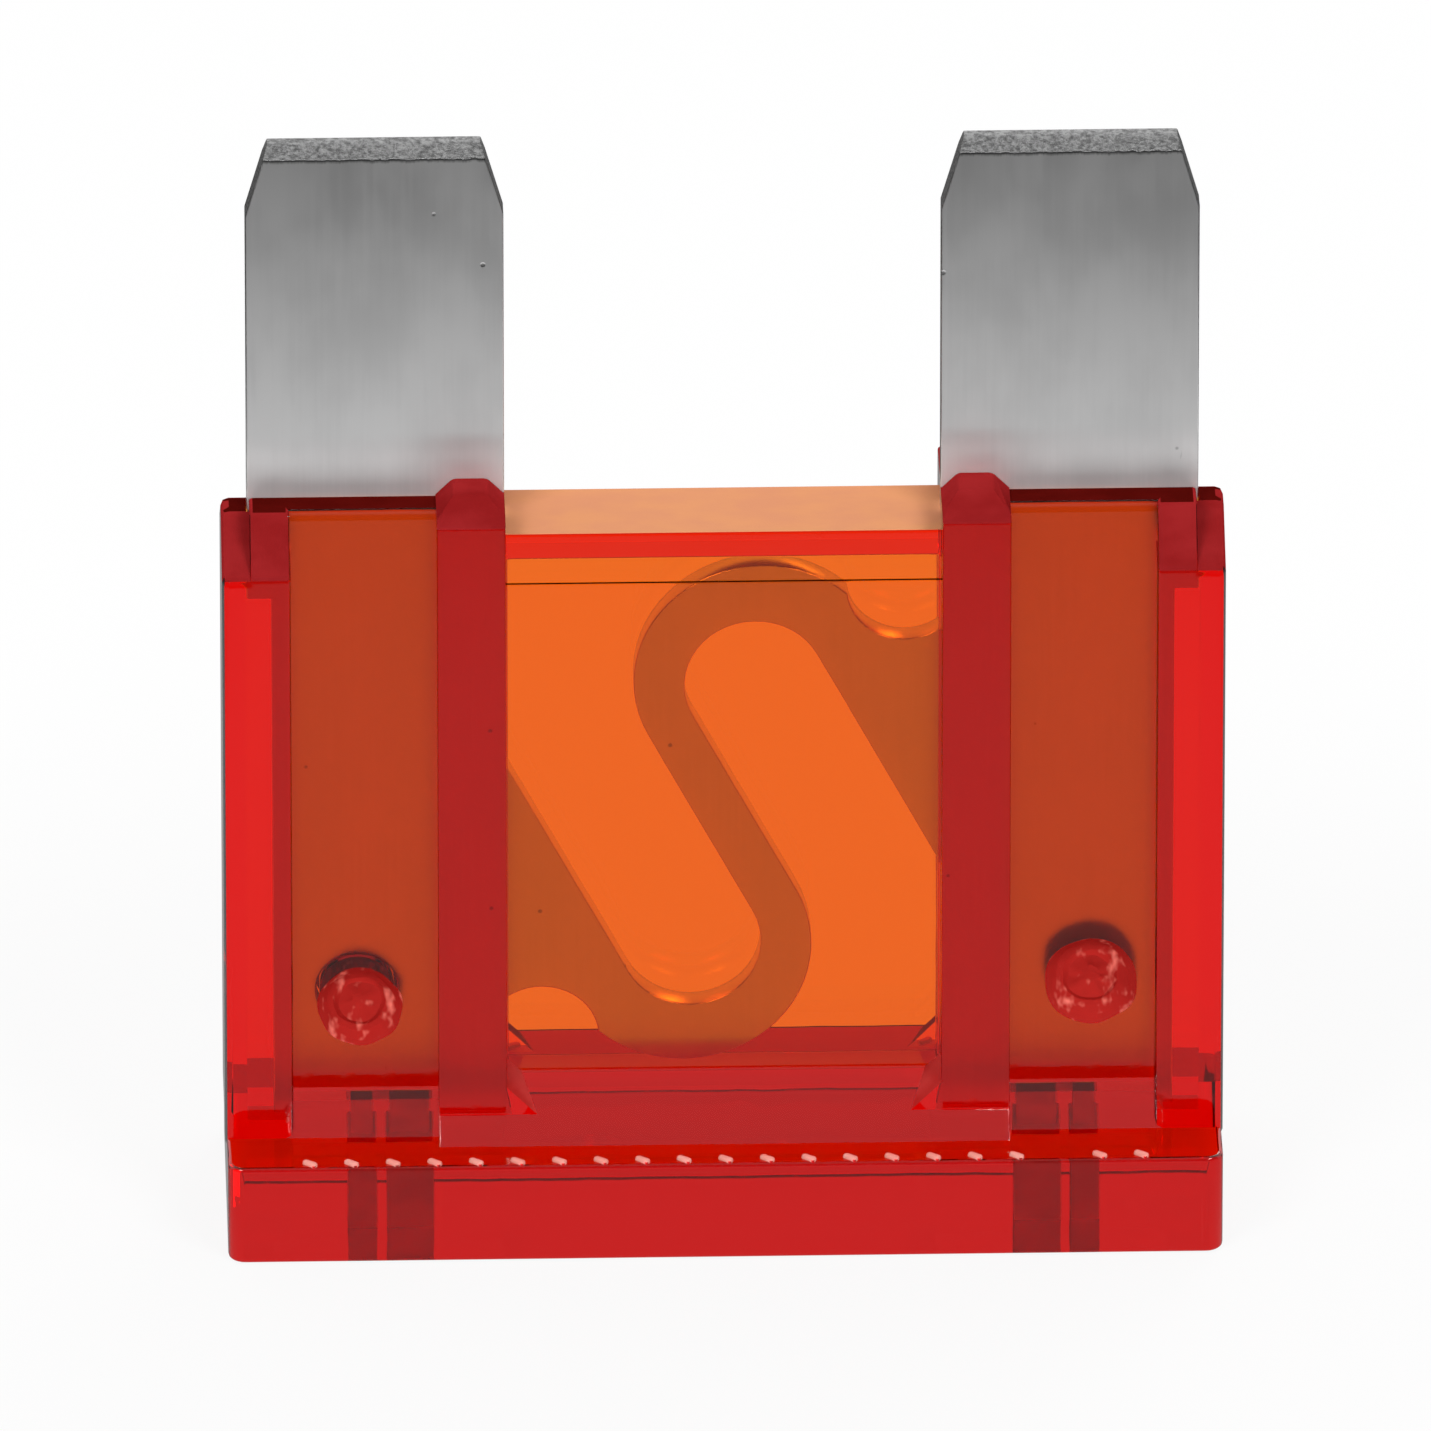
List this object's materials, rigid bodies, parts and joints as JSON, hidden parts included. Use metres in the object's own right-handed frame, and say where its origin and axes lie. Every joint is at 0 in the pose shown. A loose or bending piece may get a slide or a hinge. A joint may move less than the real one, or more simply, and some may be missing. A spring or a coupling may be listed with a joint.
{
  "type": "automotive blade fuse",
  "caption": "Large automotive blade fuse: clear red moulded housing with a thick head, flat metal blades and an S-shaped fusible link seen through its window.",
  "frame": {"origin": "centre of the head's flat face, on which the fuse stands", "axes": "+X across the width, +Y through the thickness, +Z from the head to the blade tips"},
  "size_m": [0.0292, 0.0088, 0.0343],
  "materials": {
    "clear_red_plastic": "clear, gloss, tinted red all through",
    "plated_metal": "satin grey plating over rolled zinc alloy sheet"
  },
  "bodies": {
    "root": {"housing_body": "clear_red_plastic", "head_cap": "clear_red_plastic", "fuse_element": "plated_metal"}
  },
  "joints": []
}
